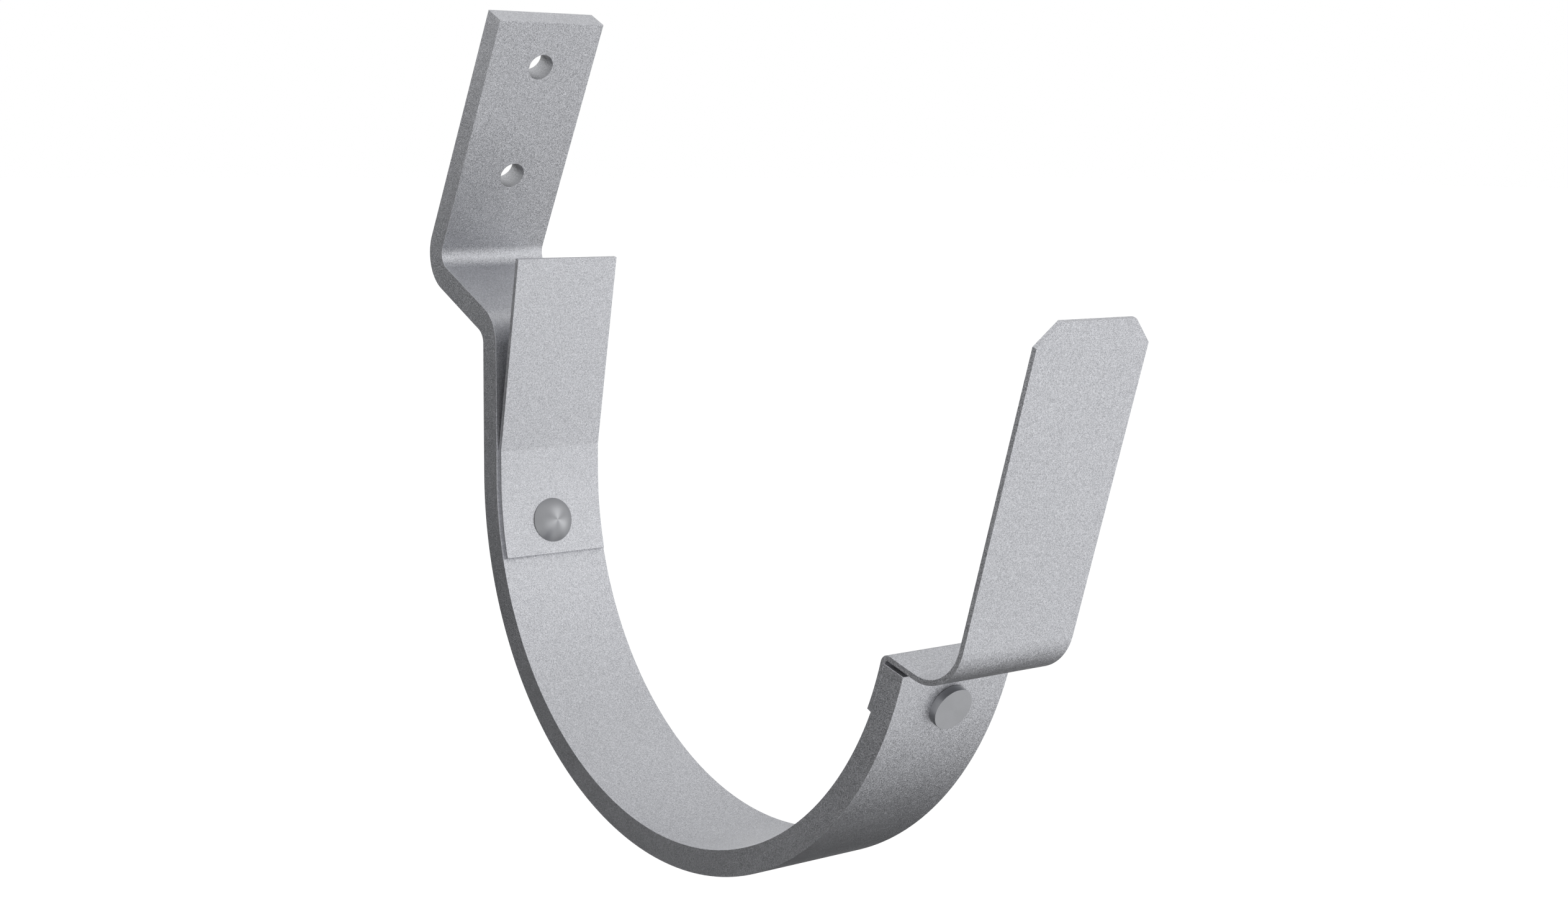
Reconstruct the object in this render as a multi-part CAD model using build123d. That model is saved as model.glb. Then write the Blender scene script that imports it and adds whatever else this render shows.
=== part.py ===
from build123d import *
from math import asin, cos, degrees, radians, sin, sqrt
import os

# Gutter bracket for a half-round gutter, screwed to a sloping fascia board.
# A flat steel bar is bent into the round seat that carries the gutter, runs up behind it, steps back
# and ends in the fixing plate. Two sheet clips are riveted to the gutter side of the seat: the rear one
# stands up behind the gutter, and the front one folds over the end of the bar into a trough for the
# gutter's front bead and a long tongue, which is bent down over the bead when the gutter is in.
# Sizes are in millimetres and angles in degrees. +X points away from the wall, +Y along the gutter and
# +Z up. The origin is on the wall face of the fixing plate, midway between its two holes.

# Flat bar
bar_width = 25.0
bar_thickness = 5.0
seat_radius = 62.5  # gutter side of the round seat, for a 125 mm gutter
front_end_angle = 16.5  # how far below the level of the gutter's axis the bar ends in front
upright_length = 27.2  # straight run behind the gutter, from the level of its axis
bar_bend_radius = 3.2  # inside radius of the two bends above the seat
lower_bend_angle = 63.0  # back towards the wall
slant_length = 17.0
upper_bend_angle = 90.0  # up again, along the fascia board
plate_length = 51.9

# Fixing holes in the plate
hole_diameter = 5.5
hole_spacing = 25.0
hole_end_distance = 10.0  # from the end of the plate to the middle of the upper hole

# Both clips
sheet_thickness = 1.0

# Rear clip
rear_clip_width = 24.0
rear_leg_length = 17.2  # down the seat from the level of the gutter's axis
rear_upright_length = 5.2  # straight run above that level
rear_bend_radius = 1.5  # inside radius
rear_tongue_lean = 10.0
rear_tongue_length = 40.2

# Front clip
front_leg_length = 9.5  # down the seat from the bar's front end
fold_radius = 0.8  # inside radius of the fold over the bar's end, and so the gap under the lip
lip_slope = 16.8
lip_length = 6.55  # straight run between the fold and the trough
trough_radius = 8.6  # inside radius
trough_turn = 90.0
front_tongue_length = 56.6
corner_cut = 4.2  # both corners of the tongue's end

# Rivets
flat_head_diameter = 8.0
flat_head_height = 1.5
rear_rivet_edge_distance = 7.1  # up the seat from the clip's lower end
rear_shank_diameter = 4.8
dome_diameter = 9.2
dome_height = 1.85
front_rivet_edge_distance = 2.7
front_shank_diameter = 3.2
closing_head_diameter = 4.8
closing_head_height = 1.1


# Sections are drawn in the plane across the gutter, where a point is (forward, up) from the gutter's axis

def direction(angle):
    """Unit vector at an angle above straight forward."""
    return Vector(cos(radians(angle)), sin(radians(angle)))


def left_of(heading):
    return Vector(-heading.Y, heading.X)


def seat_angle(length):
    """The angle that a length along the seat takes up."""
    return degrees(length / seat_radius)


def straight(length):
    """A straight run of a bent strip."""
    return length, None, 0.0


def bend(face_radius, turn):
    """A bent run, whose turn is positive to the left. The radius is that of the face that is followed."""
    return None, face_radius, turn


def face_edges(start, heading, runs, set_out=0.0):
    """Edges of a bent strip's face, set out to the left of the face that the runs follow."""
    point = start + left_of(heading) * set_out
    edges = []
    for length, face_radius, turn in runs:
        if face_radius is None:
            edge = Line(point, point + heading * length)
        else:
            radius = face_radius - set_out if turn > 0 else face_radius + set_out
            edge = JernArc(start=point, tangent=heading, radius=radius, arc_size=turn)
        edges.append(edge)
        point, heading = edge @ 1, edge % 1
    return edges


def bent_strip(start, heading, runs, thickness, width):
    """Solid strip of even thickness, which lies left of the followed face, or right if negative."""
    followed = face_edges(start, heading, runs)
    other = face_edges(start, heading, runs, thickness)
    start_edge = Line(followed[0] @ 0, other[0] @ 0)
    end_edge = Line(followed[-1] @ 1, other[-1] @ 1)
    section = make_face(Wire(followed + [end_edge] + other + [start_edge]))
    return extrude(Plane.XZ * section, amount=width / 2, both=True)


def rod(start, heading, diameter, length):
    """Round rod in the middle of the width, from a point along a heading."""
    start_plane = Plane(origin=(start.X, 0, start.Y), z_dir=(heading.X, 0, heading.Y))
    return extrude(start_plane * Circle(diameter / 2), amount=length)


# Flat bar, followed on the gutter side from its front end to the end of the plate

front_end = direction(-front_end_angle) * seat_radius
front_end_heading = direction(-front_end_angle - 90)
bar_runs = [
    bend(seat_radius, front_end_angle - 180),
    straight(upright_length),
    bend(bar_bend_radius + bar_thickness, lower_bend_angle),
    straight(slant_length),
    bend(bar_bend_radius, -upper_bend_angle),
    straight(plate_length),
]
plate_edge = face_edges(front_end, front_end_heading, bar_runs)[-1]
plate_end = plate_edge @ 1
up_plate = plate_edge % 1
to_wall = left_of(up_plate)
upper_hole = plate_end - up_plate * hole_end_distance
lower_hole = upper_hole - up_plate * hole_spacing


# Angles down the seat, below the level of the gutter's axis

rear_leg_angle = seat_angle(rear_leg_length)
rear_rivet_angle = seat_angle(rear_leg_length - rear_rivet_edge_distance)
front_leg_angle = seat_angle(front_leg_length)
front_leg_end_angle = front_end_angle + front_leg_angle
front_rivet_angle = front_leg_end_angle - seat_angle(front_rivet_edge_distance)
rear_rivet_heading = direction(180 + rear_rivet_angle)
front_rivet_heading = direction(-front_rivet_angle)


def rivet_hole(outward, shank_diameter):
    """The hole that a shank fills, along a radius of the seat from inside the clip to outside the bar."""
    start = outward * (seat_radius - 2 * sheet_thickness)
    return rod(start, outward, shank_diameter, bar_thickness + 4 * sheet_thickness)


rear_rivet_hole = rivet_hole(rear_rivet_heading, rear_shank_diameter)
front_rivet_hole = rivet_hole(front_rivet_heading, front_shank_diameter)


def make_bar():
    bar = bent_strip(front_end, front_end_heading, bar_runs, bar_thickness, bar_width)
    for hole in (upper_hole, lower_hole):
        bar -= rod(hole, to_wall, hole_diameter, bar_thickness)
    return bar - rear_rivet_hole - front_rivet_hole


# Rear clip, followed on the face that lies on the bar, from its lower end up

def make_rear_clip():
    lower_end = direction(180 + rear_leg_angle) * seat_radius
    heading = direction(90 + rear_leg_angle)
    runs = [
        bend(seat_radius, -rear_leg_angle),
        straight(rear_upright_length),
        bend(rear_bend_radius + sheet_thickness, -rear_tongue_lean),
        straight(rear_tongue_length),
    ]
    clip = bent_strip(lower_end, heading, runs, -sheet_thickness, rear_clip_width)
    return clip - rear_rivet_hole


# Front clip, followed on the face that lies on the bar, from its lower end up and over the bar's end

def make_front_clip():
    lower_end = direction(-front_leg_end_angle) * seat_radius
    heading = direction(90 - front_leg_end_angle)
    runs = [
        bend(seat_radius, front_leg_angle),
        bend(fold_radius, front_end_angle - 90 - lip_slope),
        straight(lip_length),
        bend(trough_radius + sheet_thickness, trough_turn),
        straight(front_tongue_length),
    ]
    clip = bent_strip(lower_end, heading, runs, sheet_thickness, bar_width)
    up_tongue = face_edges(lower_end, heading, runs)[-1] % 1
    tongue_axis = Axis((0, 0, 0), (up_tongue.X, 0, up_tongue.Y))
    tongue_end = clip.faces().sort_by(tongue_axis)[-1]
    end_corners = tongue_end.edges().sort_by(SortBy.LENGTH)[:2]
    return chamfer(end_corners, corner_cut) - front_rivet_hole


# Rivets, drawn as (distance from the rivet's axis, distance from the gutter's axis)

def make_rivet(outward, shank_diameter, inner_diameter, inner_height):
    """A rivet with a domed head on the clip and a flat head outside the bar.

    The flat undersides of the heads rest on the round faces: the inner one by its rim, the outer one
    along its middle.
    """
    clip_radius = seat_radius - sheet_thickness
    inner_radius = inner_diameter / 2
    inner_base = sqrt(clip_radius**2 - inner_radius**2)
    outer_base = seat_radius + bar_thickness
    crown = Vector(0, inner_base - inner_height)
    rim = Vector(inner_radius, inner_base)
    sphere_radius = (inner_radius**2 + inner_height**2) / (2 * inner_height)
    dome = RadiusArc(crown, rim, -sphere_radius)
    outline = Polyline(
        rim,
        (shank_diameter / 2, inner_base),
        (shank_diameter / 2, outer_base),
        (flat_head_diameter / 2, outer_base),
        (flat_head_diameter / 2, outer_base + flat_head_height),
        (0, outer_base + flat_head_height),
        crown,
    )
    section_plane = Plane(origin=(0, 0, 0), x_dir=(0, 1, 0), z_dir=(outward.Y, 0, -outward.X))
    section = section_plane * make_face(Wire([dome] + outline.edges()))
    axis = Axis((0, 0, 0), (outward.X, 0, outward.Y))
    return revolve(section, axis)


plate_middle = (upper_hole + lower_hole) / 2 + to_wall * bar_thickness
to_origin = Pos(-plate_middle.X, 0, -plate_middle.Y)

pieces = {
    "bracket_bar": make_bar(),
    "rear_clip": make_rear_clip(),
    "front_clip": make_front_clip(),
    "rear_rivet": make_rivet(rear_rivet_heading, rear_shank_diameter, dome_diameter, dome_height),
    "front_rivet": make_rivet(
        front_rivet_heading, front_shank_diameter, closing_head_diameter, closing_head_height
    ),
}

os.makedirs("parts", exist_ok=True)
for name, piece in pieces.items():
    placed = to_origin * piece
    placed.label = name
    export_step(placed, f"parts/{name}.step")
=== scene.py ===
"""Looks of a riveted gutter bracket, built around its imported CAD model.

The bracket is a bent flat bar with two sheet clips, in hot-dip galvanised steel, and two zinc plated
rivets. Sizes are in millimetres and angles in degrees, as in the part's source, until a mesh is made.
A section is drawn in the plane across the gutter, where a point is (forward, up) from the gutter's
axis. The studio's own sizes are in metres.
"""

import logging
import math
from collections.abc import Iterable
from dataclasses import dataclass, field
from enum import Enum
from functools import cache
from typing import Any, Protocol

import bmesh
import bpy
from mathutils import Matrix, Vector


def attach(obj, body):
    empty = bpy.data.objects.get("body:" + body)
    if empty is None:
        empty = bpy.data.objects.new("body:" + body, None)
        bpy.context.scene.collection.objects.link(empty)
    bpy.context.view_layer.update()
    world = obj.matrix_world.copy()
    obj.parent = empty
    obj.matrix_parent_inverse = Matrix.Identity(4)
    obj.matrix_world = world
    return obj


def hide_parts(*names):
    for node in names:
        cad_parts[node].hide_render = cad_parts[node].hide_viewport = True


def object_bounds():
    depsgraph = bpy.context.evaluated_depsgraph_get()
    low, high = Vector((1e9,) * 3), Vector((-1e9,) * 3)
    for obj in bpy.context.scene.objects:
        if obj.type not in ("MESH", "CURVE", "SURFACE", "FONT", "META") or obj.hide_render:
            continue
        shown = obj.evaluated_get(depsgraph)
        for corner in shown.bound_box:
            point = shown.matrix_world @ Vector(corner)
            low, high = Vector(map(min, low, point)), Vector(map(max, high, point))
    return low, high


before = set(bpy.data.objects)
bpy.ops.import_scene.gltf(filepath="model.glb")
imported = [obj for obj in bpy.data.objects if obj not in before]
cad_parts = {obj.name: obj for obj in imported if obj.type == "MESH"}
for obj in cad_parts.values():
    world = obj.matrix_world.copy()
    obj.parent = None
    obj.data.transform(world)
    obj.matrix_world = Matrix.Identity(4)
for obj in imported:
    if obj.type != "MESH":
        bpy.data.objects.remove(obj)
CAD_BOX: tuple[Vector, Vector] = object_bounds()

LOG = logging.getLogger("gutter_bracket")
MM = 0.001  # metres in a millimetre
BODY = "root"
NOISE_LOW, NOISE_HIGH = 0.3, 0.7  # the values between which a noise pattern mostly stays

SEAT_RADIUS = 62.5
BAR_THICKNESS = 5.0
SHEET_THICKNESS = 1.0
GUTTER_AXIS = Vector((0.0, 0.0))  # as a point of the section

LARGE_FACE_WEIGHT = 90  # how much a large face counts in its corners' normals, where 50 is even
FILM_WIDTH = 36.0  # width of the picture behind the camera's lens
WHITE = 1.0  # strength at which a white light shows as plain white


class Slot(Enum):
    """The record's material slots."""

    BAR = "galvanised_bar"
    SHEET = "galvanised_sheet"
    RIVET = "rivet_steel"


# Section geometry


def direction(angle: float) -> Vector:
    """Unit vector of the section at an angle above straight forward.

    Args:
        angle: Degrees above straight forward.

    Returns:
        The unit vector as (forward, up).
    """
    return Vector((math.cos(math.radians(angle)), math.sin(math.radians(angle))))


def left_of(heading: Vector) -> Vector:
    """Unit vector square to a heading, on its left."""
    return Vector((-heading.y, heading.x))


def turned(vector: Vector, angle: float) -> Vector:
    """A section vector turned to the left by an angle in radians."""
    cosine, sine = math.cos(angle), math.sin(angle)
    return Vector((vector.x * cosine - vector.y * sine, vector.x * sine + vector.y * cosine))


def seat_angle(length: float) -> float:
    """The angle in degrees that a length along the seat takes up."""
    return math.degrees(length / SEAT_RADIUS)


class Run(Protocol):
    """One run of a bent strip, measured along the face that is followed."""

    @property
    def extent(self) -> float:
        """Length of the followed face."""

    def advance(self, point: Vector, heading: Vector, distance: float) -> tuple[Vector, Vector]:
        """The point and heading at a distance from the run's start."""

    def stops(self, thickness: float) -> list[float]:
        """Distances from the run's start at which a curve needs a section."""


@dataclass(frozen=True)
class Straight:
    """A straight run.

    Attributes:
        length: Its length.
    """

    length: float

    @property
    def extent(self) -> float:
        """Length of the followed face."""
        return self.length

    def advance(self, point: Vector, heading: Vector, distance: float) -> tuple[Vector, Vector]:
        """The point and heading at a distance from the run's start."""
        return point + heading * distance, heading

    def stops(self, thickness: float) -> list[float]:
        """A straight run needs no section between its ends."""
        return []


@dataclass(frozen=True)
class Bend:
    """A bent run.

    Attributes:
        radius: Radius of the face that is followed.
        turn: Degrees, positive to the left.
        chord_error: How far a flat facet may leave the true curve.
    """

    radius: float
    turn: float
    chord_error: float = 0.006

    @property
    def extent(self) -> float:
        """Length of the followed face."""
        return self.radius * math.radians(abs(self.turn))

    def advance(self, point: Vector, heading: Vector, distance: float) -> tuple[Vector, Vector]:
        """The point and heading at a distance from the run's start."""
        side = math.copysign(1.0, self.turn)
        centre = point + left_of(heading) * self.radius * side
        angle = side * distance / self.radius
        return centre + turned(point - centre, angle), turned(heading, angle)

    def stops(self, thickness: float) -> list[float]:
        """Distances from the run's start at which the curve needs a section.

        Args:
            thickness: How far the other face lies to the left of the followed one.

        Returns:
            The distances, without the run's two ends.
        """
        other = self.radius - math.copysign(1.0, self.turn) * thickness
        step = 2 * math.acos(1 - self.chord_error / max(self.radius, other))
        count = math.ceil(math.radians(abs(self.turn)) / step)
        return [self.extent * i / count for i in range(1, count)]


# Mesh making


def to_frame(section_point: Vector, across: float) -> Vector:
    """A point of the section in the row frame.

    Args:
        section_point: (forward, up) from the gutter's axis.
        across: Distance along the gutter from the middle of the bracket's width.

    Returns:
        The point in metres.
    """
    wall = FlatBar.wall_point()
    return Vector((section_point.x - wall.x, across, section_point.y - wall.y)) * MM


def mesh_object(
    name: str,
    corners: list[Vector],
    faces: list[list[int]],
    finish: bpy.types.Material,
) -> bpy.types.Object:
    """A closed mesh with its faces outwards, linked to the scene.

    Args:
        name: Name of the object and its mesh.
        corners: Points in metres.
        faces: Corner numbers of each face.
        finish: Its material.

    Returns:
        The new object.
    """
    mesh = bpy.data.meshes.new(name)
    mesh.from_pydata([tuple(corner) for corner in corners], [], faces)
    mesh.materials.append(finish)
    work = bmesh.new()
    work.from_mesh(mesh)
    bmesh.ops.recalc_face_normals(work, faces=work.faces)
    work.to_mesh(mesh)
    work.free()
    made = bpy.data.objects.new(name, mesh)
    bpy.context.scene.collection.objects.link(made)
    return made


def settle(piece: bpy.types.Object) -> None:
    """Turns a piece's modifiers into its own mesh."""
    graph = bpy.context.evaluated_depsgraph_get()
    settled = bpy.data.meshes.new_from_object(piece.evaluated_get(graph))
    settled.name = piece.data.name
    piece.modifiers.clear()
    piece.data = settled


def cut(piece: bpy.types.Object, cutters: Iterable[bpy.types.Object]) -> None:
    """Cuts holes in a piece and removes the cutters, whose finish stays in the holes.

    Args:
        piece: The mesh that is cut.
        cutters: Closed meshes with the shapes of the holes.
    """
    for cutter in cutters:
        hole = piece.modifiers.new("hole", "BOOLEAN")
        hole.operation, hole.solver, hole.object = "DIFFERENCE", "EXACT", cutter
        hole.material_mode = "TRANSFER"
        settle(piece)
        bpy.data.objects.remove(cutter)


def smooth(piece: bpy.types.Object, sharp_angle: float = 35.0) -> None:
    """Shades a piece smooth, with true normals on its flat faces and its sharp edges kept.

    Args:
        piece: The mesh that is shaded.
        sharp_angle: Edges with a greater angle stay sharp.
    """
    for face in piece.data.polygons:
        face.use_smooth = True
    piece.data.set_sharp_from_angle(angle=math.radians(sharp_angle))
    weights = piece.modifiers.new("weights", "WEIGHTED_NORMAL")
    weights.keep_sharp = True
    weights.weight = LARGE_FACE_WEIGHT
    settle(piece)


@dataclass
class BentStrip:
    """A strip of even thickness, bent along a row of runs, with its edges softly broken.

    Attributes:
        name: Name of the piece.
        start: Where the followed face begins.
        heading: The way it sets off.
        runs: The runs of the followed face.
        thickness: Distance of the other face to the left of the followed one, or right if negative.
        width: Along the gutter.
        edge_radius: Rounding of the long edges and the ends.
        corner_cut: Both corners of the far end are cut off by this much.
        round_steps: Facets of an edge's rounding.
    """

    name: str
    start: Vector
    heading: Vector
    runs: list[Run]
    thickness: float
    width: float
    edge_radius: float
    corner_cut: float = 0.0
    round_steps: int = 3

    @property
    def length(self) -> float:
        """Length of the followed face."""
        return sum(run.extent for run in self.runs)

    def at(self, distance: float) -> tuple[Vector, Vector]:
        """The followed face's point and heading at a distance along it.

        Args:
            distance: Distance from the start.

        Returns:
            The point and the heading there.
        """
        point, heading = self.start, self.heading
        for run in self.runs[:-1]:
            if distance <= run.extent:
                return run.advance(point, heading, distance)
            point, heading = run.advance(point, heading, run.extent)
            distance -= run.extent
        return self.runs[-1].advance(point, heading, distance)

    def stops(self) -> list[float]:
        """Distances along the followed face at which the strip has a section.

        Returns:
            The distances in order, with none too near to the next.
        """
        found, begun = [], 0.0
        for run in self.runs:
            found += [begun + stop for stop in run.stops(self.thickness)]
            begun += run.extent
            found.append(begun)
        clear = [d for d in found if 2 * self.edge_radius < d < self.length - 2 * self.edge_radius]
        if self.corner_cut:
            clear.append(self.length - self.corner_cut)
        for step in range(self.round_steps + 1):
            back = self.edge_radius * (1 - math.sin(math.pi / 2 * step / self.round_steps))
            clear += [back, self.length - back]
        return sorted(clear)

    def section(self, distance: float) -> list[Vector]:
        """The rounded rectangle of the strip's section, in the row frame.

        Args:
            distance: Where it is cut, along the followed face.

        Returns:
            The section's corners in order.
        """
        point, heading = self.at(distance)
        left = left_of(heading)
        to_start, to_end = distance, self.length - distance
        into_round = max(0.0, self.edge_radius - min(to_start, to_end))
        inset = self.edge_radius - math.sqrt(max(0.0, self.edge_radius**2 - into_round**2))
        trim = max(0.0, self.corner_cut - to_end)
        half_thickness = abs(self.thickness) / 2 - inset - self.edge_radius
        half_width = self.width / 2 - inset - trim - self.edge_radius
        middle = point + left * self.thickness / 2
        corners = []
        for quarter, (over, across) in enumerate(((1, 1), (-1, 1), (-1, -1), (1, -1))):
            for step in range(self.round_steps + 1):
                angle = math.pi / 2 * (quarter + step / self.round_steps)
                offset = over * half_thickness + self.edge_radius * math.cos(angle)
                y = across * half_width + self.edge_radius * math.sin(angle)
                corners.append(to_frame(middle + left * offset, y))
        return corners

    def build(
        self, finish: bpy.types.Material, cutters: Iterable[bpy.types.Object]
    ) -> bpy.types.Object:
        """Builds the strip's mesh.

        Args:
            finish: Its material.
            cutters: Closed meshes with the shapes of its holes.

        Returns:
            The new object.
        """
        sections = [self.section(stop) for stop in self.stops()]
        size = len(sections[0])
        faces = [list(range(size)), [(len(sections) - 1) * size + i for i in range(size)]]
        for row in range(len(sections) - 1):
            for i in range(size):
                here, after = row * size + i, row * size + (i + 1) % size
                faces.append([here, after, after + size, here + size])
        corners = [corner for section in sections for corner in section]
        made = mesh_object(self.name, corners, faces, finish)
        cut(made, cutters)
        smooth(made)
        return made


def lathe(
    name: str,
    outline: list[tuple[float, float]],
    origin: Vector,
    axis: Vector,
    finish: bpy.types.Material,
    segments: int = 96,
) -> bpy.types.Object:
    """A closed mesh turned about an axis that lies in the middle of the width.

    Args:
        name: Name of the object.
        outline: (radius, distance along the axis) from one end to the other.
        origin: Where the axis starts, as a point of the section.
        axis: The axis's direction, as a unit vector of the section.
        finish: Its material.
        segments: Sides of the turned form.

    Returns:
        The new object.
    """
    side = left_of(axis)
    corners: list[Vector] = []
    rows: list[list[int]] = []
    for radius, along in outline:
        middle = origin + axis * along
        count = segments if radius > 0 else 1
        rows.append(list(range(len(corners), len(corners) + count)))
        for i in range(count):
            angle = 2 * math.pi * i / segments
            point = middle + side * radius * math.cos(angle)
            corners.append(to_frame(point, radius * math.sin(angle)))
    faces: list[list[int]] = []
    for low, high in zip(rows, rows[1:]):
        for i in range(segments):
            j = (i + 1) % segments
            quad = [low[i % len(low)], low[j % len(low)], high[j % len(high)], high[i % len(high)]]
            faces.append(list(dict.fromkeys(quad)))
    faces += [row for row in (rows[0], rows[-1]) if len(row) > 1]
    return mesh_object(name, corners, faces, finish)


# Finishes


def linear(hex_colour: str) -> tuple[float, float, float, float]:
    """Turns an sRGB hex colour to linear.

    Args:
        hex_colour: Six hex digits.

    Returns:
        Linear red, green and blue, and an alpha of one.
    """
    parts = [int(hex_colour[i : i + 2], 16) / 255 for i in (0, 2, 4)]
    red, green, blue = (p / 12.92 if p <= 0.04045 else ((p + 0.055) / 1.055) ** 2.4 for p in parts)
    return red, green, blue, 1.0


def add_node(
    tree: bpy.types.NodeTree,
    kind: str,
    settings: dict[str, Any] | None = None,
    inputs: dict[str | int, Any] | None = None,
) -> bpy.types.Node:
    """Adds a node with its settings, constants and links.

    Args:
        tree: The tree that it goes in.
        kind: The node's type.
        settings: The node's own properties.
        inputs: A constant or another node's output for each input, by name or number.

    Returns:
        The new node.
    """
    made = tree.nodes.new(kind)
    for name, value in (settings or {}).items():
        setattr(made, name, value)
    for name, value in (inputs or {}).items():
        if isinstance(value, bpy.types.NodeSocket):
            tree.links.new(value, made.inputs[name])
        else:
            made.inputs[name].default_value = value
    return made


def new_tree(name: str) -> tuple[bpy.types.Material, bpy.types.NodeTree]:
    """An empty node material.

    Args:
        name: The material's name.

    Returns:
        The material and its node tree.
    """
    material = bpy.data.materials.new(name)
    material.use_nodes = True
    material.node_tree.nodes.clear()
    return material, material.node_tree


@dataclass(frozen=True)
class HotDipGalvanisedSteel:
    """Steel dipped in molten zinc, which has dulled to an even grey.

    The zinc freezes as a crust of fine crystals. Each has its own tone and leans its own way, so the
    eye sees a dense salt and pepper grain over broad and very faint clouds, and no clear reflection.

    Attributes:
        name: Name of the material.
        colour_pale: Colour of the brightest crystals.
        colour_dark: Colour of the dullest crystals.
        grain: Width of a crystal, which is a guess for dull zinc: it gives the photograph's grain,
            of about a pixel of the full picture.
        tilt: How far the crystals lean: each part of the vector that is added to the surface's unit
            normal lies within half of this, either way.
        cloud: Width of the faint clouds in the crust.
        cloud_contrast: How far the clouds change the tone, from nought to one.
        roughness: How the dulled zinc spreads what it reflects.
        roughness_spread: How far the clouds change the roughness, either way.
    """

    name: str
    colour_pale: str = "CFD0D4"
    colour_dark: str = "9C9DA1"
    grain: float = 0.11
    tilt: float = 0.3
    cloud: float = 9.0
    cloud_contrast: float = 0.05
    roughness: float = 0.51
    roughness_spread: float = 0.01

    def material(self) -> bpy.types.Material:
        """Builds the material.

        Returns:
            The node material.
        """
        material, tree = new_tree(self.name)
        place = add_node(tree, "ShaderNodeTexCoord").outputs["Object"]
        crystals = add_node(
            tree, "ShaderNodeTexVoronoi", inputs={"Vector": place, "Scale": 1 / (self.grain * MM)}
        ).outputs["Color"]
        clouds = add_node(
            tree,
            "ShaderNodeTexNoise",
            inputs={"Vector": place, "Scale": 1 / (self.cloud * MM)},
        ).outputs["Fac"]
        cloud_tone = add_node(
            tree,
            "ShaderNodeMapRange",
            inputs={
                "Value": clouds,
                "From Min": NOISE_LOW,
                "From Max": NOISE_HIGH,
                "To Min": -self.cloud_contrast / 2,
                "To Max": self.cloud_contrast / 2,
            },
        ).outputs["Result"]
        crystal_tone = add_node(
            tree, "ShaderNodeSeparateColor", inputs={"Color": crystals}
        ).outputs["Red"]
        tone = add_node(
            tree,
            "ShaderNodeMath",
            {"operation": "ADD", "use_clamp": True},
            {0: crystal_tone, 1: cloud_tone},
        ).outputs[0]
        colour = add_node(
            tree,
            "ShaderNodeMix",
            {"data_type": "RGBA"},
            {"Factor": tone, 6: linear(self.colour_dark), 7: linear(self.colour_pale)},
        ).outputs[2]
        roughness = add_node(
            tree,
            "ShaderNodeMapRange",
            inputs={
                "Value": clouds,
                "From Min": NOISE_LOW,
                "From Max": NOISE_HIGH,
                "To Min": self.roughness - self.roughness_spread,
                "To Max": self.roughness + self.roughness_spread,
            },
        ).outputs["Result"]
        facing = add_node(
            tree,
            "ShaderNodeVectorMath",
            {"operation": "MULTIPLY_ADD"},
            {0: crystals, 1: (self.tilt,) * 3, 2: (-self.tilt / 2,) * 3},
        ).outputs["Vector"]
        surface = add_node(tree, "ShaderNodeNewGeometry").outputs["Normal"]
        tilted = add_node(
            tree, "ShaderNodeVectorMath", {"operation": "ADD"}, {0: surface, 1: facing}
        ).outputs["Vector"]
        normal = add_node(
            tree, "ShaderNodeVectorMath", {"operation": "NORMALIZE"}, {0: tilted}
        ).outputs["Vector"]
        shader = add_node(
            tree,
            "ShaderNodeBsdfPrincipled",
            inputs={
                "Base Color": colour,
                "Metallic": 1.0,
                "Roughness": roughness,
                "Normal": normal,
            },
        )
        add_node(tree, "ShaderNodeOutputMaterial", inputs={"Surface": shader.outputs["BSDF"]})
        return material


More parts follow.
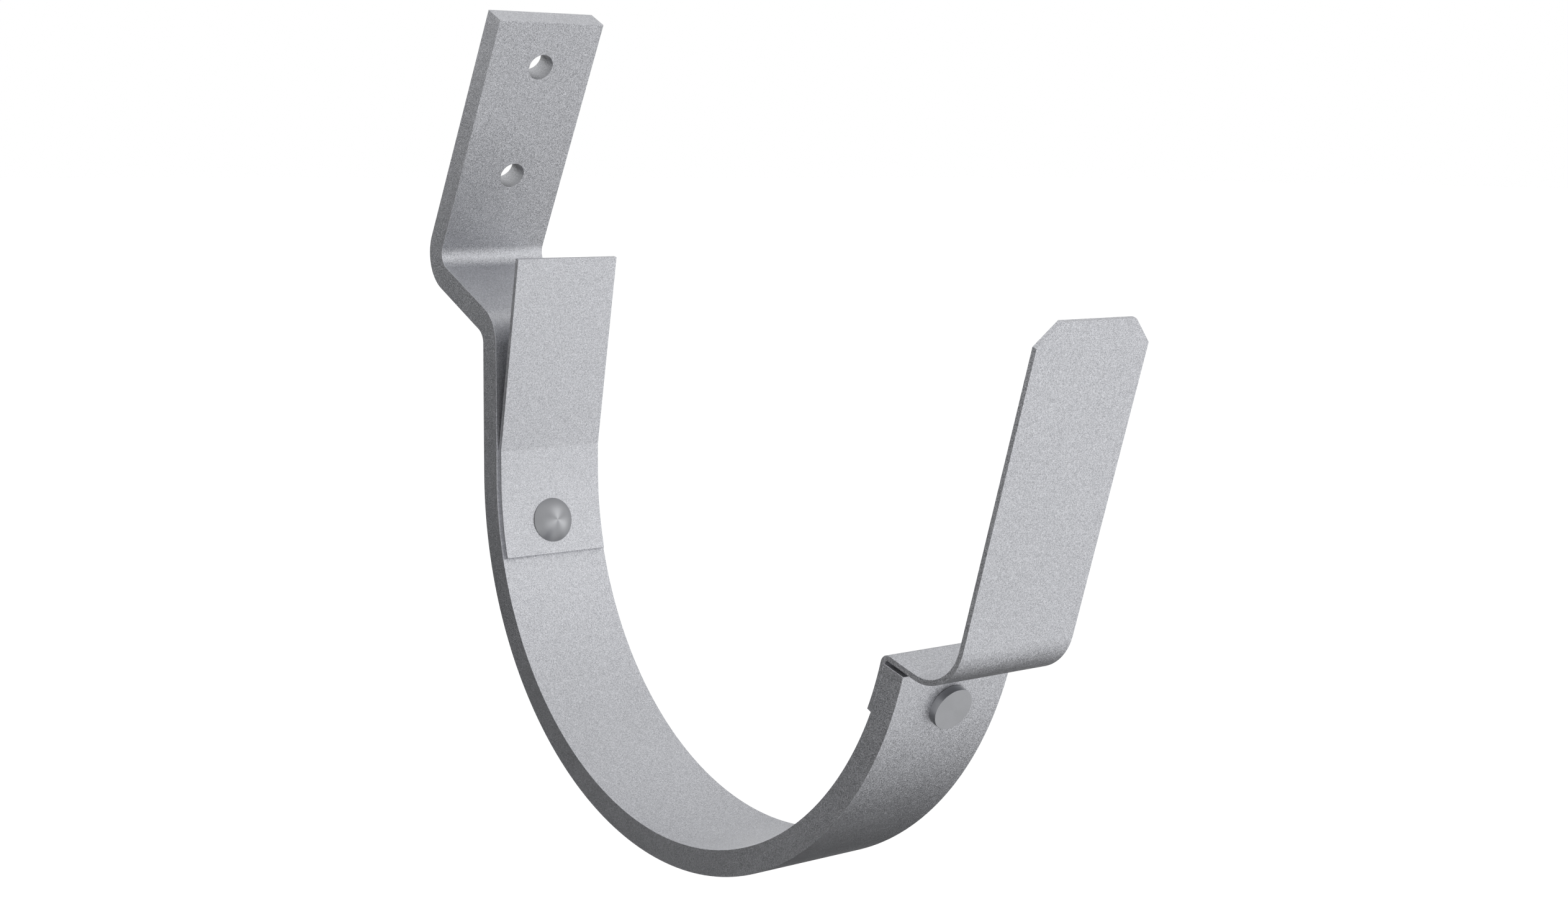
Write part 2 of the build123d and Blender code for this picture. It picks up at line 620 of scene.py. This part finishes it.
@dataclass(frozen=True)
class TurnedRivetSteel:
    """Cold-headed steel whose heads were faced on a lathe and thinly zinc plated.

    The tool leaves fine rings round the rivet's axis, which draw the light out across them, and there
    is no crystal grain. What makes them isn't known, and no lamp that was tried gave them. On the
    rounded head three pale wedges of painted highlight meet at its middle and are gone before its rim:
    they stand in for a reflection of the turned face that no lamp that was tried gave, so the colour
    holds them.

    Attributes:
        name: Name of the material.
        centre: The point of the rivet's axis at which the fans end, in the row frame.
        axis: The rivet's axis in the row frame, away from the rounded head.
        head_radius: Radius of the rounded head.
        painted_highlight: How much the pale wedges of painted highlight stand out at the head's
            middle, from nought to one.
        fan_reach: Shares of the head's radius at which the painted highlight begins to fade and is
            gone.
        fan_lift: How much the painted highlight lightens the ground between the wedges too, as a share
            of itself.
        fan_angle: Degrees from the width's direction up to the middle of a fan.
        fan_count: Number of pale wedges of painted highlight.
        colour_pale: Colour in the middle of a fan.
        colour_dark: Colour of the darkest plating.
        tone: The bare rings' place between the two colours, with nought for the dark one.
        ring: Distance from one ring to the next, which is a usual feed for turning.
        ring_contrast: How far the rings change the tone, from nought to one.
        roughness: How the plating spreads what it reflects.
        drawn_out: How far the rings draw the light out, from nought to one.
    """

    name: str
    centre: Vector
    axis: Vector
    head_radius: float
    painted_highlight: float
    tone: float
    fan_reach: tuple[float, float] = (0.38, 0.8)
    fan_lift: float = 0.5
    fan_angle: float = 87.0
    fan_count: int = 3
    colour_pale: str = "B8B9BC"
    colour_dark: str = "7A7B7E"
    ring: float = 0.12
    ring_contrast: float = 0.1
    roughness: float = 0.42
    drawn_out: float = 0.7

    def material(self) -> bpy.types.Material:
        """Builds the material.

        Returns:
            The node material.
        """
        material, tree = new_tree(self.name)
        axis, across = tuple(self.axis), (0.0, 1.0, 0.0)
        upward = tuple(Vector(across).cross(self.axis))
        place = add_node(tree, "ShaderNodeTexCoord").outputs["Object"]
        arm = add_node(
            tree, "ShaderNodeVectorMath", {"operation": "SUBTRACT"}, {0: place, 1: tuple(self.centre)}
        ).outputs["Vector"]
        round_axis = add_node(
            tree, "ShaderNodeVectorMath", {"operation": "CROSS_PRODUCT"}, {0: axis, 1: arm}
        ).outputs["Vector"]
        distance = add_node(
            tree, "ShaderNodeVectorMath", {"operation": "LENGTH"}, {0: round_axis}
        ).outputs["Value"]
        along = add_node(
            tree, "ShaderNodeVectorMath", {"operation": "DOT_PRODUCT"}, {0: arm, 1: axis}
        ).outputs["Value"]
        rounded_end = add_node(
            tree, "ShaderNodeMath", {"operation": "LESS_THAN"}, {0: along, 1: 0.0}
        ).outputs[0]
        away = add_node(
            tree, "ShaderNodeVectorMath", {"operation": "CROSS_PRODUCT"}, {0: round_axis, 1: axis}
        ).outputs["Vector"]
        outward = add_node(
            tree, "ShaderNodeVectorMath", {"operation": "NORMALIZE"}, {0: away}
        ).outputs["Vector"]
        # Painted highlight: three pale wedges round the axis, on the rounded head only, fading before
        # its rim
        reach_up, reach_across = (
            add_node(
                tree, "ShaderNodeVectorMath", {"operation": "DOT_PRODUCT"}, {0: outward, 1: way}
            ).outputs["Value"]
            for way in (upward, across)
        )
        turn = add_node(
            tree, "ShaderNodeMath", {"operation": "ARCTAN2"}, {0: reach_up, 1: reach_across}
        ).outputs[0]
        fan_turn = add_node(
            tree,
            "ShaderNodeMath",
            {"operation": "MULTIPLY_ADD"},
            {0: turn, 1: self.fan_count, 2: -self.fan_count * math.radians(self.fan_angle)},
        ).outputs[0]
        highlight_wave = add_node(tree, "ShaderNodeMath", {"operation": "COSINE"}, {0: fan_turn}).outputs[0]
        lifted_highlight = add_node(
            tree, "ShaderNodeMath", {"operation": "ADD"}, {0: highlight_wave, 1: self.fan_lift}
        ).outputs[0]
        full, gone = self.fan_reach
        fade = add_node(
            tree,
            "ShaderNodeMapRange",
            {"interpolation_type": "SMOOTHSTEP"},
            {
                "Value": distance,
                "From Min": full * self.head_radius * MM,
                "From Max": gone * self.head_radius * MM,
                "To Min": self.painted_highlight,
                "To Max": 0.0,
            },
        ).outputs["Result"]
        rings = add_node(
            tree,
            "ShaderNodeTexNoise",
            {"noise_dimensions": "1D"},
            {"W": distance, "Scale": 1 / (self.ring * MM)},
        ).outputs["Fac"]
        ring_tone = add_node(
            tree,
            "ShaderNodeMapRange",
            inputs={
                "Value": rings,
                "To Min": self.tone - self.ring_contrast / 2,
                "To Max": self.tone + self.ring_contrast / 2,
            },
        ).outputs["Result"]
        strength = add_node(
            tree, "ShaderNodeMath", {"operation": "MULTIPLY"}, {0: fade, 1: rounded_end}
        ).outputs[0]
        # The rings' tone, with the painted highlight added on the rounded head
        tone = add_node(
            tree,
            "ShaderNodeMath",
            {"operation": "MULTIPLY_ADD"},
            {0: lifted_highlight, 1: strength, 2: ring_tone},
        ).outputs[0]
        colour = add_node(
            tree,
            "ShaderNodeMix",
            {"data_type": "RGBA"},
            {"Factor": tone, 6: linear(self.colour_dark), 7: linear(self.colour_pale)},
        ).outputs[2]
        # Square to the rings on the heads' faces, and along the axis on a head's wall
        over_rings = add_node(
            tree, "ShaderNodeVectorMath", {"operation": "ADD"}, {0: outward, 1: axis}
        ).outputs["Vector"]
        shader = add_node(
            tree,
            "ShaderNodeBsdfPrincipled",
            inputs={
                "Base Color": colour,
                "Metallic": 1.0,
                "Roughness": self.roughness,
                "Anisotropic": self.drawn_out,
                "Tangent": over_rings,
            },
        )
        add_node(tree, "ShaderNodeOutputMaterial", inputs={"Surface": shader.outputs["BSDF"]})
        return material


def put_in_place(piece: bpy.types.Object, node: str) -> None:
    """Puts a piece in the place of its CAD node.

    Args:
        piece: The piece.
        node: The CAD node that it stands for.
    """
    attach(piece, BODY)
    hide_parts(node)


# Sub-assemblies


@dataclass
class FlatBar:
    """The bent flat bar: seat, upright, slanted step and fixing plate with two holes.

    Attributes:
        width: Along the gutter.
        front_end_angle: Degrees below level at which the seat ends in front.
        upright_length: From the seat to the first bend.
        bend_radius: Inside radius of both bends.
        lower_bend: Degrees from the upright to the slanted step.
        slant_length: Length of the slanted step.
        upper_bend: Degrees from the slanted step to the plate.
        plate_length: Length of the plate's gutter side.
        hole_diameter: Diameter of the fixing holes.
        hole_spacing: From one fixing hole's middle to the other's.
        hole_end_distance: From the plate's end to the upper hole's middle.
        hole_rim: How far the holes' rims are broken.
        cutter_reach: How far the holes' cutters reach past the plate.
        edge_radius: Rounding of the bar's edges.
        hole_shade_finish: Darker finish of the fixing holes' walls, which is painted shade for the
            recess.
    """

    width: float = 25.0
    front_end_angle: float = 16.5
    upright_length: float = 27.2
    bend_radius: float = 3.2
    lower_bend: float = 63.0
    slant_length: float = 17.0
    upper_bend: float = 90.0
    plate_length: float = 51.9
    hole_diameter: float = 5.5
    hole_spacing: float = 25.0
    hole_end_distance: float = 10.0
    hole_rim: float = 0.06
    cutter_reach: float = 1.0
    edge_radius: float = 0.06
    # The holes' walls are darker than the bar's faces: painted shade for the recess
    hole_shade_finish: HotDipGalvanisedSteel = HotDipGalvanisedSteel(
        "hot-dip galvanised steel, dull in the drilled holes",
        colour_pale="C4C5C8",
        colour_dark="9A9B9E",
    )

    def strip(self) -> BentStrip:
        """The bar as a bent strip, followed on the gutter side from its front end."""
        runs = [
            Bend(SEAT_RADIUS, self.front_end_angle - 180),
            Straight(self.upright_length),
            Bend(self.bend_radius + BAR_THICKNESS, self.lower_bend),
            Straight(self.slant_length),
            Bend(self.bend_radius, -self.upper_bend),
            Straight(self.plate_length),
        ]
        start = direction(-self.front_end_angle) * SEAT_RADIUS
        heading = direction(-self.front_end_angle - 90)
        return BentStrip(
            "bent_flat_bar", start, heading, runs, BAR_THICKNESS, self.width, self.edge_radius
        )

    def holes(self) -> tuple[list[Vector], Vector]:
        """The fixing holes.

        Returns:
            Their middles on the gutter side of the plate, upper first, and the way to the wall.
        """
        strip = self.strip()
        plate_end, up_plate = strip.at(strip.length)
        upper = plate_end - up_plate * self.hole_end_distance
        return [upper, upper - up_plate * self.hole_spacing], left_of(up_plate)

    @staticmethod
    @cache
    def wall_point() -> Vector:
        """The row frame's origin: on the plate's wall face, midway between its holes."""
        (upper, lower), to_wall = FlatBar().holes()
        return (upper + lower) / 2 + to_wall * BAR_THICKNESS

    def hole_cutters(self) -> list[bpy.types.Object]:
        """Cutters for the fixing holes, whose rims are lightly broken."""
        radius, rim, past = self.hole_diameter / 2, self.hole_rim, self.cutter_reach
        outline = [
            (0.0, -past),
            (radius + rim + past, -past),
            (radius, rim),
            (radius, BAR_THICKNESS - rim),
            (radius + rim + past, BAR_THICKNESS + past),
            (0.0, BAR_THICKNESS + past),
        ]
        middles, to_wall = self.holes()
        finish = self.hole_shade_finish.material()
        return [lathe("fixing_hole", outline, middle, to_wall, finish) for middle in middles]

    def build(
        self, finish: bpy.types.Material, rivet_cutters: list[bpy.types.Object]
    ) -> bpy.types.Object:
        """Builds the bar with all its holes.

        Args:
            finish: Its material, apart from the fixing holes.
            rivet_cutters: Cutters for the rivets' holes.

        Returns:
            The bar.
        """
        made = self.strip().build(finish, self.hole_cutters() + rivet_cutters)
        put_in_place(made, "bracket_bar")
        return made


@dataclass
class RearClip:
    """The sheet clip on the rear of the seat, whose tongue leans forward behind the gutter.

    Attributes:
        width: Along the gutter.
        leg_length: Length of the leg that follows the round seat.
        upright_length: From the seat to the bend.
        bend_radius: Inside radius of the bend.
        tongue_lean: Degrees that the tongue leans forward.
        tongue_length: Length of the tongue's face towards the bar.
        rivet_edge_distance: From the leg's end to the rivet's axis.
        edge_radius: Rounding of the clip's edges.
    """

    width: float = 24.0
    leg_length: float = 17.2
    upright_length: float = 5.2
    bend_radius: float = 1.5
    tongue_lean: float = 10.0
    tongue_length: float = 40.2
    rivet_edge_distance: float = 7.1
    edge_radius: float = 0.04

    @property
    def rivet_heading(self) -> Vector:
        """The way out along the rivet's axis."""
        return direction(180 + seat_angle(self.leg_length - self.rivet_edge_distance))

    def strip(self) -> BentStrip:
        """The clip as a bent strip, followed on the face that lies on the bar, from its lower end."""
        leg_angle = seat_angle(self.leg_length)
        runs = [
            Bend(SEAT_RADIUS, -leg_angle),
            Straight(self.upright_length),
            Bend(self.bend_radius + SHEET_THICKNESS, -self.tongue_lean),
            Straight(self.tongue_length),
        ]
        start = direction(180 + leg_angle) * SEAT_RADIUS
        heading = direction(90 + leg_angle)
        return BentStrip(
            "rear_sheet_clip", start, heading, runs, -SHEET_THICKNESS, self.width, self.edge_radius
        )

    def build(self, finish: bpy.types.Material, rivet_cutter: bpy.types.Object) -> bpy.types.Object:
        """Builds the clip with its rivet hole.

        Args:
            finish: Its material.
            rivet_cutter: Cutter for the rivet's hole.

        Returns:
            The clip.
        """
        made = self.strip().build(finish, [rivet_cutter])
        put_in_place(made, "rear_clip")
        return made


@dataclass
class FrontClip:
    """The sheet clip on the front of the seat: leg, fold over the bar's end, trough and tongue.

    Attributes:
        width: Along the gutter.
        bar_end_angle: Degrees below level at which the bar ends.
        leg_length: Length of the leg that follows the round seat.
        fold_radius: Inside radius of the fold.
        lip_slope: Degrees that the lip falls towards the trough.
        lip_length: Length of the lip.
        trough_radius: Inside radius of the trough.
        trough_turn: Degrees that the trough turns.
        tongue_length: Length of the tongue's outer face.
        corner_cut: How much is cut off both corners of the tongue.
        rivet_edge_distance: From the leg's end to the rivet's axis.
        edge_radius: Rounding of the clip's edges.
    """

    width: float = 25.0
    bar_end_angle: float = 16.5
    leg_length: float = 9.5
    fold_radius: float = 0.8
    lip_slope: float = 16.8
    lip_length: float = 6.55
    trough_radius: float = 8.6
    trough_turn: float = 90.0
    tongue_length: float = 56.6
    corner_cut: float = 4.2
    rivet_edge_distance: float = 2.7
    edge_radius: float = 0.04

    @property
    def leg_end_angle(self) -> float:
        """Degrees below level at which the leg ends."""
        return self.bar_end_angle + seat_angle(self.leg_length)

    @property
    def rivet_heading(self) -> Vector:
        """The way out along the rivet's axis."""
        return direction(seat_angle(self.rivet_edge_distance) - self.leg_end_angle)

    def strip(self) -> BentStrip:
        """The clip as a bent strip, followed on the face that lies on the bar, from its lower end."""
        runs = [
            Bend(SEAT_RADIUS, seat_angle(self.leg_length)),
            Bend(self.fold_radius, self.bar_end_angle - 90 - self.lip_slope),
            Straight(self.lip_length),
            Bend(self.trough_radius + SHEET_THICKNESS, self.trough_turn),
            Straight(self.tongue_length),
        ]
        start = direction(-self.leg_end_angle) * SEAT_RADIUS
        heading = direction(90 - self.leg_end_angle)
        return BentStrip(
            "front_sheet_clip",
            start,
            heading,
            runs,
            SHEET_THICKNESS,
            self.width,
            self.edge_radius,
            self.corner_cut,
        )

    def build(self, finish: bpy.types.Material, rivet_cutter: bpy.types.Object) -> bpy.types.Object:
        """Builds the clip with its rivet hole.

        Args:
            finish: Its material.
            rivet_cutter: Cutter for the rivet's hole.

        Returns:
            The clip.
        """
        made = self.strip().build(finish, [rivet_cutter])
        put_in_place(made, "front_clip")
        return made


@dataclass
class Rivet:
    """A rivet with a rounded head on the clip and a flat head outside the bar.

    Attributes:
        outward: The way out along its axis.
        name: Name of the piece.
        node: The CAD node that it stands for.
        shank: Diameter of the shank.
        inner_diameter: Diameter of the rounded head.
        inner_height: Height of the rounded head.
        painted_highlight: How much the pale wedges of painted highlight stand out on its rounded head.
        tone: How pale its plating is, from nought to one.
        flat_diameter: Diameter of the flat head.
        flat_height: Height of the flat head.
        rim_radius: Rounding of the flat head's rim.
        round_steps: Facets of the rounded head's outline.
        rim_steps: Facets of the rim's rounding.
        cutter_reach: How far its hole's cutter reaches past the clip and the bar.
    """

    outward: Vector
    name: str
    node: str
    shank: float
    inner_diameter: float
    inner_height: float
    painted_highlight: float
    tone: float
    flat_diameter: float = 8.0
    flat_height: float = 1.5
    rim_radius: float = 0.06
    round_steps: int = 16
    rim_steps: int = 3
    cutter_reach: float = 2.0

    def outline(self) -> list[tuple[float, float]]:
        """The outline as (radius, distance from the gutter's axis), from the rounded head out."""
        inner, flat, shank = self.inner_diameter / 2, self.flat_diameter / 2, self.shank / 2
        inner_base = math.sqrt((SEAT_RADIUS - SHEET_THICKNESS) ** 2 - inner**2)
        sphere = (inner**2 + self.inner_height**2) / (2 * self.inner_height)
        reach = math.asin(inner / sphere)
        centre = inner_base - self.inner_height + sphere
        points = []
        for step in range(self.round_steps + 1):
            angle = reach * step / self.round_steps
            points.append((sphere * math.sin(angle), centre - sphere * math.cos(angle)))
        flat_base = SEAT_RADIUS + BAR_THICKNESS
        top = flat_base + self.flat_height
        points += [(shank, inner_base), (shank, flat_base), (flat, flat_base)]
        for step in range(self.rim_steps + 1):
            angle = math.pi / 2 * step / self.rim_steps
            radius = flat - self.rim_radius * (1 - math.cos(angle))
            points.append((radius, top - self.rim_radius * (1 - math.sin(angle))))
        return points + [(0.0, top)]

    def material(self) -> bpy.types.Material:
        """The rivet's material, whose rings lie round its axis."""
        finish = TurnedRivetSteel(
            f"zinc plated turned steel, {self.name}",
            centre=to_frame(self.outward * SEAT_RADIUS, 0.0),
            axis=Vector((self.outward.x, 0.0, self.outward.y)),
            head_radius=self.inner_diameter / 2,
            painted_highlight=self.painted_highlight,
            tone=self.tone,
        )
        return finish.material()

    def hole_cutter(self, finish: bpy.types.Material) -> bpy.types.Object:
        """A cutter for the hole that the shank fills.

        Args:
            finish: What is left on the wall of the hole.

        Returns:
            The cutter.
        """
        radius = self.shank / 2
        low = SEAT_RADIUS - SHEET_THICKNESS - self.cutter_reach
        high = SEAT_RADIUS + BAR_THICKNESS + self.cutter_reach
        outline = [(0.0, low), (radius, low), (radius, high), (0.0, high)]
        return lathe("rivet_hole", outline, GUTTER_AXIS, self.outward, finish)

    def build(self) -> bpy.types.Object:
        """Builds the rivet."""
        made = lathe(self.name, self.outline(), GUTTER_AXIS, self.outward, self.material())
        smooth(made)
        put_in_place(made, self.node)
        return made


# Studio


@dataclass
class SoftLamp:
    """A square soft lamp that faces the bracket.

    Attributes:
        name: Name of the lamp.
        azimuth: Degrees round from straight forward, to the far side of the bracket.
        elevation: Degrees above level.
        distance: Metres from the bracket's middle.
        size: Metres along its sides.
        power: Watts.
    """

    name: str
    azimuth: float
    elevation: float
    distance: float
    size: float
    power: float

    def place(self, target: Vector) -> bpy.types.Object:
        """Hangs the lamp.

        Args:
            target: What it faces.

        Returns:
            The lamp.
        """
        data = bpy.data.lights.new(self.name, "AREA")
        data.shape, data.size, data.energy = "SQUARE", self.size, self.power
        lamp = bpy.data.objects.new(self.name, data)
        bpy.context.scene.collection.objects.link(lamp)
        azimuth, elevation = math.radians(self.azimuth), math.radians(self.elevation)
        away = Vector(
            (
                math.cos(azimuth) * math.cos(elevation),
                math.sin(azimuth) * math.cos(elevation),
                math.sin(elevation),
            )
        )
        lamp.location = target + away * self.distance
        lamp.rotation_mode = "QUATERNION"
        lamp.rotation_quaternion = away.to_track_quat("Z", "Y")
        return lamp


@dataclass
class Card:
    """A dark or grey card that stands outside the picture, for the bright metal to mirror.

    Attributes:
        name: Name of the card.
        middle: Its middle, in metres from the bracket's middle.
        facing: The way that it faces.
        width: Metres across.
        height: Metres up.
        colour: Its colour.
    """

    name: str
    middle: Vector
    facing: Vector
    width: float
    height: float
    colour: str = "262626"

    def place(self, target: Vector) -> bpy.types.Object:
        """Sets up the card.

        Args:
            target: The bracket's middle.

        Returns:
            The card.
        """
        x, y = self.width / 2, self.height / 2
        turn = self.facing.to_track_quat("Z", "Y")
        corners = [
            turn @ Vector(corner) + target + self.middle
            for corner in ((-x, -y, 0), (x, -y, 0), (x, y, 0), (-x, y, 0))
        ]
        # Pressed wool felt on a board: its loose fibres give an even tone with no gleam
        material, tree = new_tree(f"pressed wool felt, {self.name}")
        felt = add_node(
            tree, "ShaderNodeBsdfDiffuse", inputs={"Color": linear(self.colour)}
        ).outputs["BSDF"]
        add_node(tree, "ShaderNodeOutputMaterial", inputs={"Surface": felt})
        card = mesh_object(self.name, corners, [[0, 1, 2, 3]], material)
        card.visible_camera = False
        card.visible_diffuse = False
        card.visible_shadow = False
        card.visible_transmission = False
        return card


@dataclass
class Studio:
    """A plain white studio: pale floor, white surround, soft lamps and the camera.

    Attributes:
        floor_drop: Metres from the bracket's lowest point down to the floor.
        floor_size: Metres across the floor.
        floor_colour: The floor's colour.
        floor_glow: What the camera sees of the floor beside the light that it reflects.
        surround: Light of the white surround on matt surfaces.
        azimuth: Camera's degrees round the bracket, from its near side to its front.
        elevation: Degrees that the camera looks down.
        roll: Degrees that the camera leans to the right.
        lens: The lens's focal length in millimetres.
        sight: Metres from the camera to the nearest and the farthest thing that it sees.
        camera_place: Camera's place in metres.
        lamps: The lamps.
        cards: The cards.
    """

    floor_drop: float = 0.30
    floor_size: float = 60.0
    floor_colour: str = "F2F2F2"
    floor_glow: float = 0.62
    surround: float = 0.5
    azimuth: float = 51.409
    elevation: float = 7.249
    roll: float = -0.498
    lens: float = 54.25
    sight: tuple[float, float] = (0.01, 100.0)
    camera_place: Vector = field(default_factory=lambda: Vector((0.4269, -0.26766, -0.00785)))
    lamps: list[SoftLamp] = field(
        default_factory=lambda: [
            SoftLamp("key_lamp", azimuth=39, elevation=5, distance=1.4, size=1.68, power=5.0),
            SoftLamp("top_lamp", azimuth=200, elevation=75, distance=1.3, size=1.2, power=1.0),
        ]
    )
    cards: list[Card] = field(
        default_factory=lambda: [
            Card(
                "left_card",
                middle=Vector((-0.45, -0.40, -0.15)),
                facing=Vector((0.75, 0.66, 0.0)),
                width=0.92,
                height=0.47,
            ),
            Card(
                "low_card",
                middle=Vector((-0.14, 0.05, -0.35)),
                facing=Vector((0.0, 0.0, 1.0)),
                width=0.52,
                height=0.9,
            ),
            Card(
                "far_card",
                middle=Vector((-0.5, 0.75, 0.1)),
                facing=Vector((0.5, -0.8, 0.0)),
                width=0.6,
                height=0.5,
                colour="999999",
            ),
        ]
    )

    @staticmethod
    def shown_white(tree: bpy.types.NodeTree) -> bpy.types.NodeSocket:
        """One for rays from the camera, and for what metal and glass show, and nought for the rest.

        Args:
            tree: The node tree that asks.

        Returns:
            The factor's socket.
        """
        path = add_node(tree, "ShaderNodeLightPath")
        seen = path.outputs["Is Camera Ray"]
        for name in ("Is Glossy Ray", "Is Transmission Ray"):
            seen = add_node(
                tree, "ShaderNodeMath", {"operation": "MAXIMUM"}, {0: seen, 1: path.outputs[name]}
            ).outputs[0]
        return seen

    def light_surround(self) -> None:
        """Makes the world: plain white to the eye, dimmer as a light."""
        world = bpy.data.worlds.new("white_surround")
        world.use_nodes = True
        bpy.context.scene.world = world
        tree = world.node_tree
        tree.nodes.clear()
        dim, white = (
            add_node(
                tree, "ShaderNodeBackground", inputs={"Color": linear("FFFFFF"), "Strength": strength}
            ).outputs["Background"]
            for strength in (self.surround, WHITE)
        )
        mixed = add_node(
            tree, "ShaderNodeMixShader", inputs={0: self.shown_white(tree), 1: dim, 2: white}
        )
        add_node(tree, "ShaderNodeOutputWorld", inputs={"Surface": mixed.outputs[0]})
        world.cycles.sampling_method = "NONE"  # an even surround needs no map of its bright parts

    def lay_floor(self, lowest: float) -> bpy.types.Object:
        """Lays the plain pale floor.

        Args:
            lowest: Height of the bracket's lowest point, in metres.

        Returns:
            The floor.
        """
        half, z = self.floor_size / 2, lowest - self.floor_drop
        around = ((-half, -half), (half, -half), (half, half), (-half, half))
        corners = [Vector((x, y, z)) for x, y in around]
        # Rolled matt emulsion paint: pale and even, with no gleam and no texture at this distance
        material, tree = new_tree("matt emulsion paint, floor")
        matt = add_node(
            tree, "ShaderNodeBsdfDiffuse", inputs={"Color": linear(self.floor_colour)}
        ).outputs["BSDF"]
        glow = add_node(
            tree, "ShaderNodeEmission", inputs={"Color": linear("FFFFFF"), "Strength": self.floor_glow}
        ).outputs["Emission"]
        lit = add_node(tree, "ShaderNodeAddShader", inputs={0: matt, 1: glow}).outputs[0]
        shown = add_node(
            tree, "ShaderNodeMixShader", inputs={0: self.shown_white(tree), 1: matt, 2: lit}
        ).outputs[0]
        add_node(tree, "ShaderNodeOutputMaterial", inputs={"Surface": shown})
        floor = mesh_object("pale_floor", corners, [[0, 1, 2, 3]], material)
        return floor

    def set_camera(self) -> bpy.types.Object:
        """Sets the camera at the photograph's viewing angle.

        Returns:
            The camera.
        """
        data = bpy.data.cameras.new("camera")
        data.sensor_width, data.lens = FILM_WIDTH, self.lens
        data.clip_start, data.clip_end = self.sight
        camera = bpy.data.objects.new("camera", data)
        bpy.context.scene.collection.objects.link(camera)
        azimuth, elevation, roll = (math.radians(a) for a in (self.azimuth, self.elevation, self.roll))
        forward = Vector(
            (
                -math.sin(azimuth) * math.cos(elevation),
                math.cos(azimuth) * math.cos(elevation),
                -math.sin(elevation),
            )
        )
        level_right = Vector((math.cos(azimuth), math.sin(azimuth), 0))
        level_down = forward.cross(level_right)
        right = level_right * math.cos(roll) + level_down * math.sin(roll)
        up = level_right * math.sin(roll) - level_down * math.cos(roll)
        axes = Matrix((right, up, -forward)).transposed()
        camera.matrix_world = Matrix.Translation(self.camera_place) @ axes.to_4x4()
        bpy.context.scene.camera = camera
        return camera

    def build(self) -> None:
        """Builds the studio round the bracket."""
        low, high = CAD_BOX
        middle = (low + high) / 2
        self.light_surround()
        self.lay_floor(low.z)
        for lamp in self.lamps:
            lamp.place(middle)
            LOG.info("lamp %s: %.0f W", lamp.name, lamp.power)
        for card in self.cards:
            card.place(middle)
        self.set_camera()
        bpy.context.scene.view_settings.view_transform = "Standard"


def report(piece: bpy.types.Object) -> None:
    """Reports a finished piece: its faces and its size in millimetres."""
    spans = [max(c[i] for c in piece.bound_box) - min(c[i] for c in piece.bound_box) for i in range(3)]
    size = " x ".join(f"{span / MM:.1f}" for span in spans)
    LOG.info("%s: %d faces, %s mm", piece.name, len(piece.data.polygons), size)


def main() -> None:
    """Builds the bracket piece by piece, then the studio."""
    rear_clip, front_clip = RearClip(), FrontClip()
    rear_rivet = Rivet(
        rear_clip.rivet_heading,
        name="domed_rivet",
        node="rear_rivet",
        shank=4.8,
        inner_diameter=9.2,
        inner_height=1.85,
        painted_highlight=0.23,
        tone=0.37,
    )
    front_rivet = Rivet(
        front_clip.rivet_heading,
        name="flat_rivet",
        node="front_rivet",
        shank=3.2,
        inner_diameter=4.8,
        inner_height=1.1,
        painted_highlight=0.0,
        tone=0.58,
    )
    bar_finish = HotDipGalvanisedSteel("hot-dip galvanised steel, bar").material()
    sheet_finish = HotDipGalvanisedSteel("hot-dip galvanised steel, sheet").material()
    rivets = (rear_rivet, front_rivet)
    pieces = [
        FlatBar().build(bar_finish, [rivet.hole_cutter(bar_finish) for rivet in rivets]),
        rear_clip.build(sheet_finish, rear_rivet.hole_cutter(sheet_finish)),
        front_clip.build(sheet_finish, front_rivet.hole_cutter(sheet_finish)),
        rear_rivet.build(),
        front_rivet.build(),
    ]
    for piece in pieces:
        report(piece)
    Studio().build()


if __name__ == "__main__":
    logging.basicConfig(level=logging.INFO, format="%(message)s")
    main()
